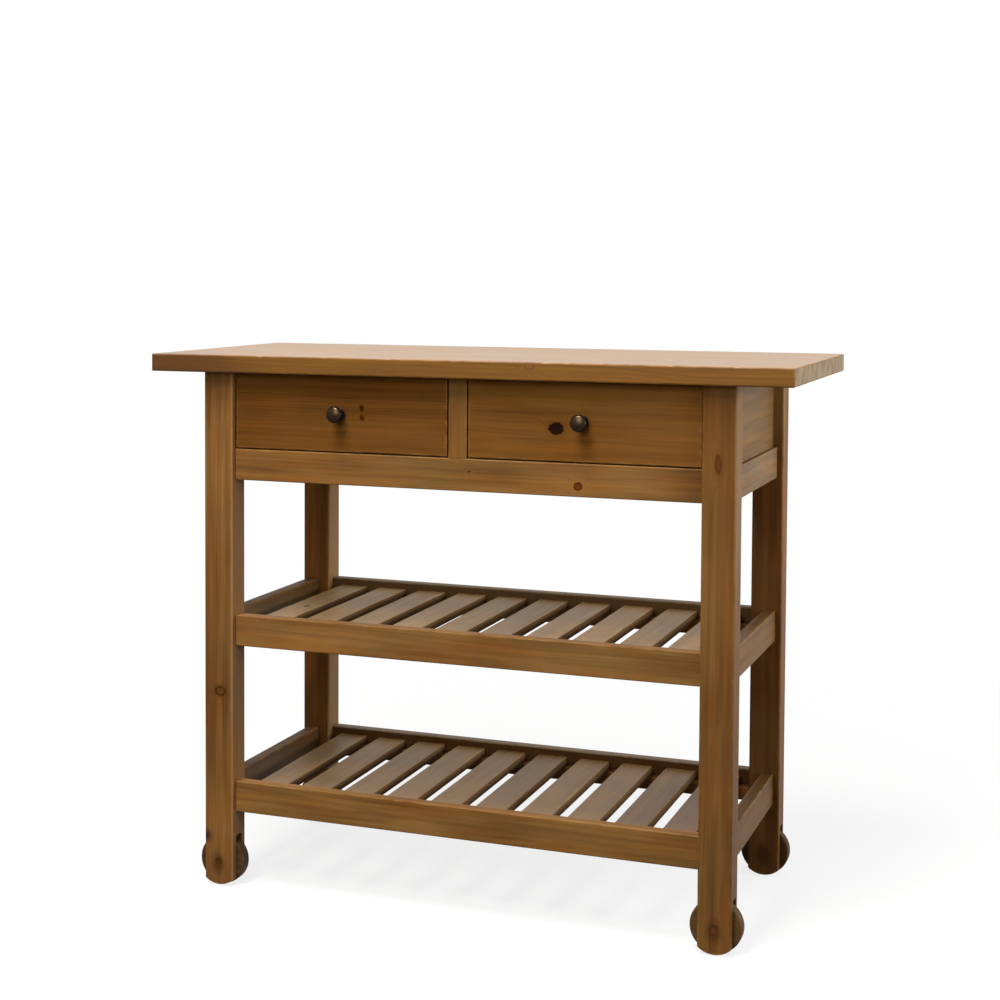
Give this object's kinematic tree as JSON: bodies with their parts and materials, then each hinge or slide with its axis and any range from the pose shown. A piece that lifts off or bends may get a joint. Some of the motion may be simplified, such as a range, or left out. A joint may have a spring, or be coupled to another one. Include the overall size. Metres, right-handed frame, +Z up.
{
  "type": "rolling serving table",
  "caption": "Wooden serving table that rolls on wheels let into its feet, with drawers under an overhanging top and slatted shelves below.",
  "frame": {"origin": "on the floor under the middle of the table", "axes": "+X along the table towards its right end as seen from the drawers, -Y the way the drawers open, +Z up"},
  "size_m": [1.025, 0.47, 0.86],
  "materials": {
    "top_pine": "satin stained pine",
    "frame_pine": "satin stained pine",
    "drawer_pine": "satin stained pine, darker",
    "slat_pine": "satin stained pine, greyer",
    "raw_pine": "unstained pine",
    "wheel_pine": "satin stained pine, dark",
    "plug_pine": "dark stained plug",
    "pewter": "dark antique metal",
    "steel": "plain steel"
  },
  "bodies": {
    "frame": {"tabletop": "top_pine", "leg_front_left": "frame_pine", "leg_front_right": "frame_pine", "leg_rear_left": "frame_pine", "leg_rear_right": "frame_pine", "case_front_rail": "frame_pine", "case_rear_rail": "frame_pine", "case_left_rail": "frame_pine", "case_right_rail": "frame_pine", "side_panel_left": "frame_pine", "side_panel_right": "frame_pine", "back_panel": "frame_pine", "drawer_divider": "frame_pine", "runner_left": "raw_pine", "runner_centre": "raw_pine", "runner_right": "raw_pine", "kicker_left": "raw_pine", "kicker_centre": "raw_pine", "kicker_right": "raw_pine", "top_screws": "steel", "middle_front_rail": "frame_pine", "middle_rear_rail": "frame_pine", "middle_left_rail": "frame_pine", "middle_right_rail": "frame_pine", "middle_front_cleat": "frame_pine", "middle_rear_cleat": "frame_pine", "middle_slats": "slat_pine", "lower_front_rail": "frame_pine", "lower_rear_rail": "frame_pine", "lower_left_rail": "frame_pine", "lower_right_rail": "frame_pine", "lower_front_cleat": "frame_pine", "lower_rear_cleat": "frame_pine", "lower_slats": "slat_pine", "axle_front_left": "steel", "axle_front_right": "steel", "axle_rear_left": "steel", "axle_rear_right": "steel", "axle_plugs": "plug_pine"},
    "left_drawer": {"left_drawer_front": "drawer_pine", "left_drawer_left_side": "raw_pine", "left_drawer_right_side": "raw_pine", "left_drawer_back": "raw_pine", "left_drawer_bottom": "raw_pine", "left_knob": "pewter", "left_knob_screw": "steel"},
    "right_drawer": {"right_drawer_front": "drawer_pine", "right_drawer_left_side": "raw_pine", "right_drawer_right_side": "raw_pine", "right_drawer_back": "raw_pine", "right_drawer_bottom": "raw_pine", "right_knob": "pewter", "right_knob_screw": "steel"},
    "front_left_wheel": {"wheel_front_left": "wheel_pine"},
    "front_right_wheel": {"wheel_front_right": "wheel_pine"},
    "rear_left_wheel": {"wheel_rear_left": "wheel_pine"},
    "rear_right_wheel": {"wheel_rear_right": "wheel_pine"}
  },
  "joints": [
    {"name": "left_drawer_slide", "type": "slide", "parent": "frame", "child": "left_drawer", "axis": [0, -1, 0], "range_m": [0, 0.27]},
    {"name": "right_drawer_slide", "type": "slide", "parent": "frame", "child": "right_drawer", "axis": [0, -1, 0], "range_m": [0, 0.27]},
    {"name": "front_left_wheel_spin", "type": "hinge", "parent": "frame", "child": "front_left_wheel", "pos_m": [-0.4025, -0.1925, 0.039], "axis": [0, 1, 0], "continuous": true},
    {"name": "front_right_wheel_spin", "type": "hinge", "parent": "frame", "child": "front_right_wheel", "pos_m": [0.4025, -0.1925, 0.039], "axis": [0, 1, 0], "continuous": true},
    {"name": "rear_left_wheel_spin", "type": "hinge", "parent": "frame", "child": "rear_left_wheel", "pos_m": [-0.4025, 0.1925, 0.039], "axis": [0, 1, 0], "continuous": true},
    {"name": "rear_right_wheel_spin", "type": "hinge", "parent": "frame", "child": "rear_right_wheel", "pos_m": [0.4025, 0.1925, 0.039], "axis": [0, 1, 0], "continuous": true}
  ]
}
